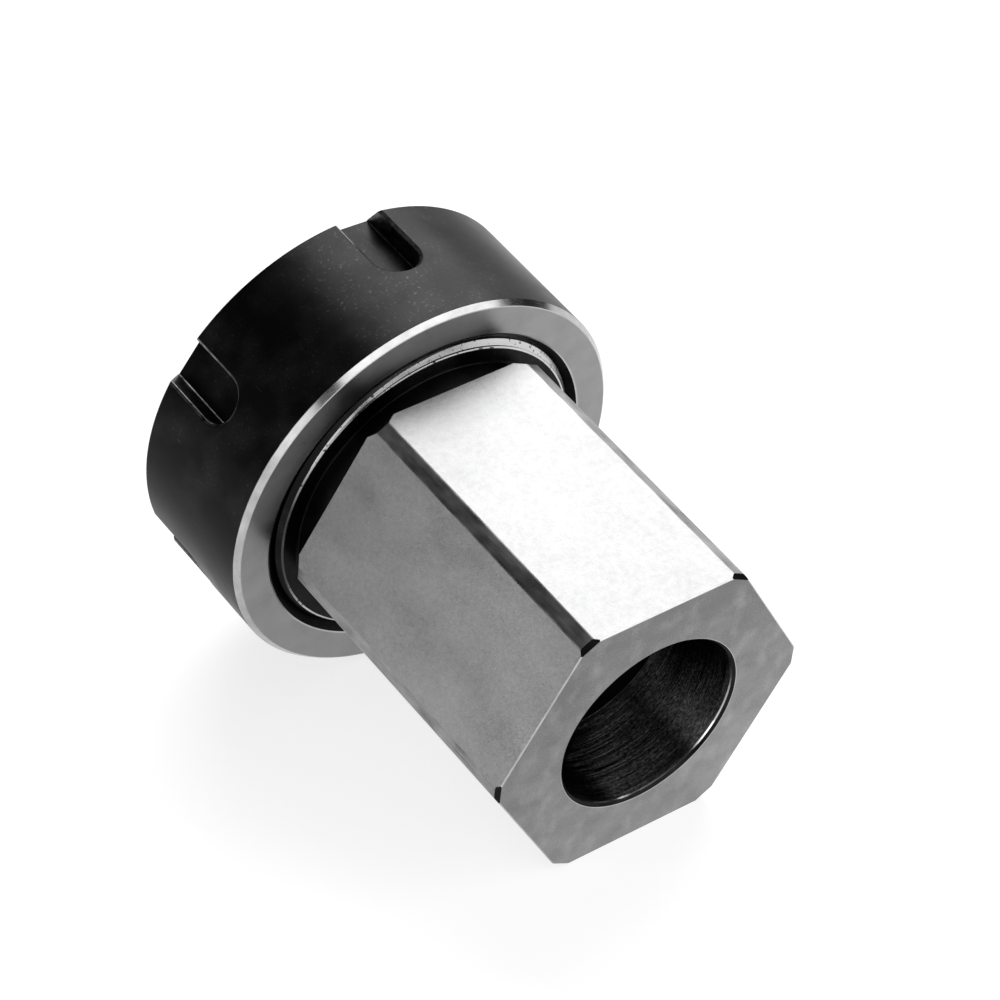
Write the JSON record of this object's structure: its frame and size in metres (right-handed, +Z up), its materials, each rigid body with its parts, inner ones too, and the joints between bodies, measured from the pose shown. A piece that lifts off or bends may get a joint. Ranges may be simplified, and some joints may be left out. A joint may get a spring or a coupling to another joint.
{
  "type": "hex collet block",
  "caption": "Hexagonal steel collet block with a through bore and a threaded nose, and the black slotted clamping nut screwed on it.",
  "frame": {"origin": "middle of the bounding box on the surface that the block lies on", "axes": "+Z up, +X towards the plain hexagonal end as seen from above; the part's axis lies in the XZ plane and rises 10.1 degrees towards the nut at -X"},
  "size_m": [0.0856, 0.063, 0.0659],
  "materials": {
    "ground_steel": "fine ground hardened steel; the turned corners keep a darker skin, and their leads, the neck and the nose are black",
    "black_oxide_steel": "satin black oxide, bare turned rear face and rear chamfer"
  },
  "bodies": {
    "block": {"hex_block": "ground_steel"},
    "nut": {"clamping_nut": "black_oxide_steel"}
  },
  "joints": [
    {"name": "nut_turn", "type": "hinge", "parent": "block", "child": "nut", "pos_m": [-0.0253, 0, 0.0331], "axis": [-0.9845, 0, 0.1753], "range_deg": [-720, 2880]}
  ]
}
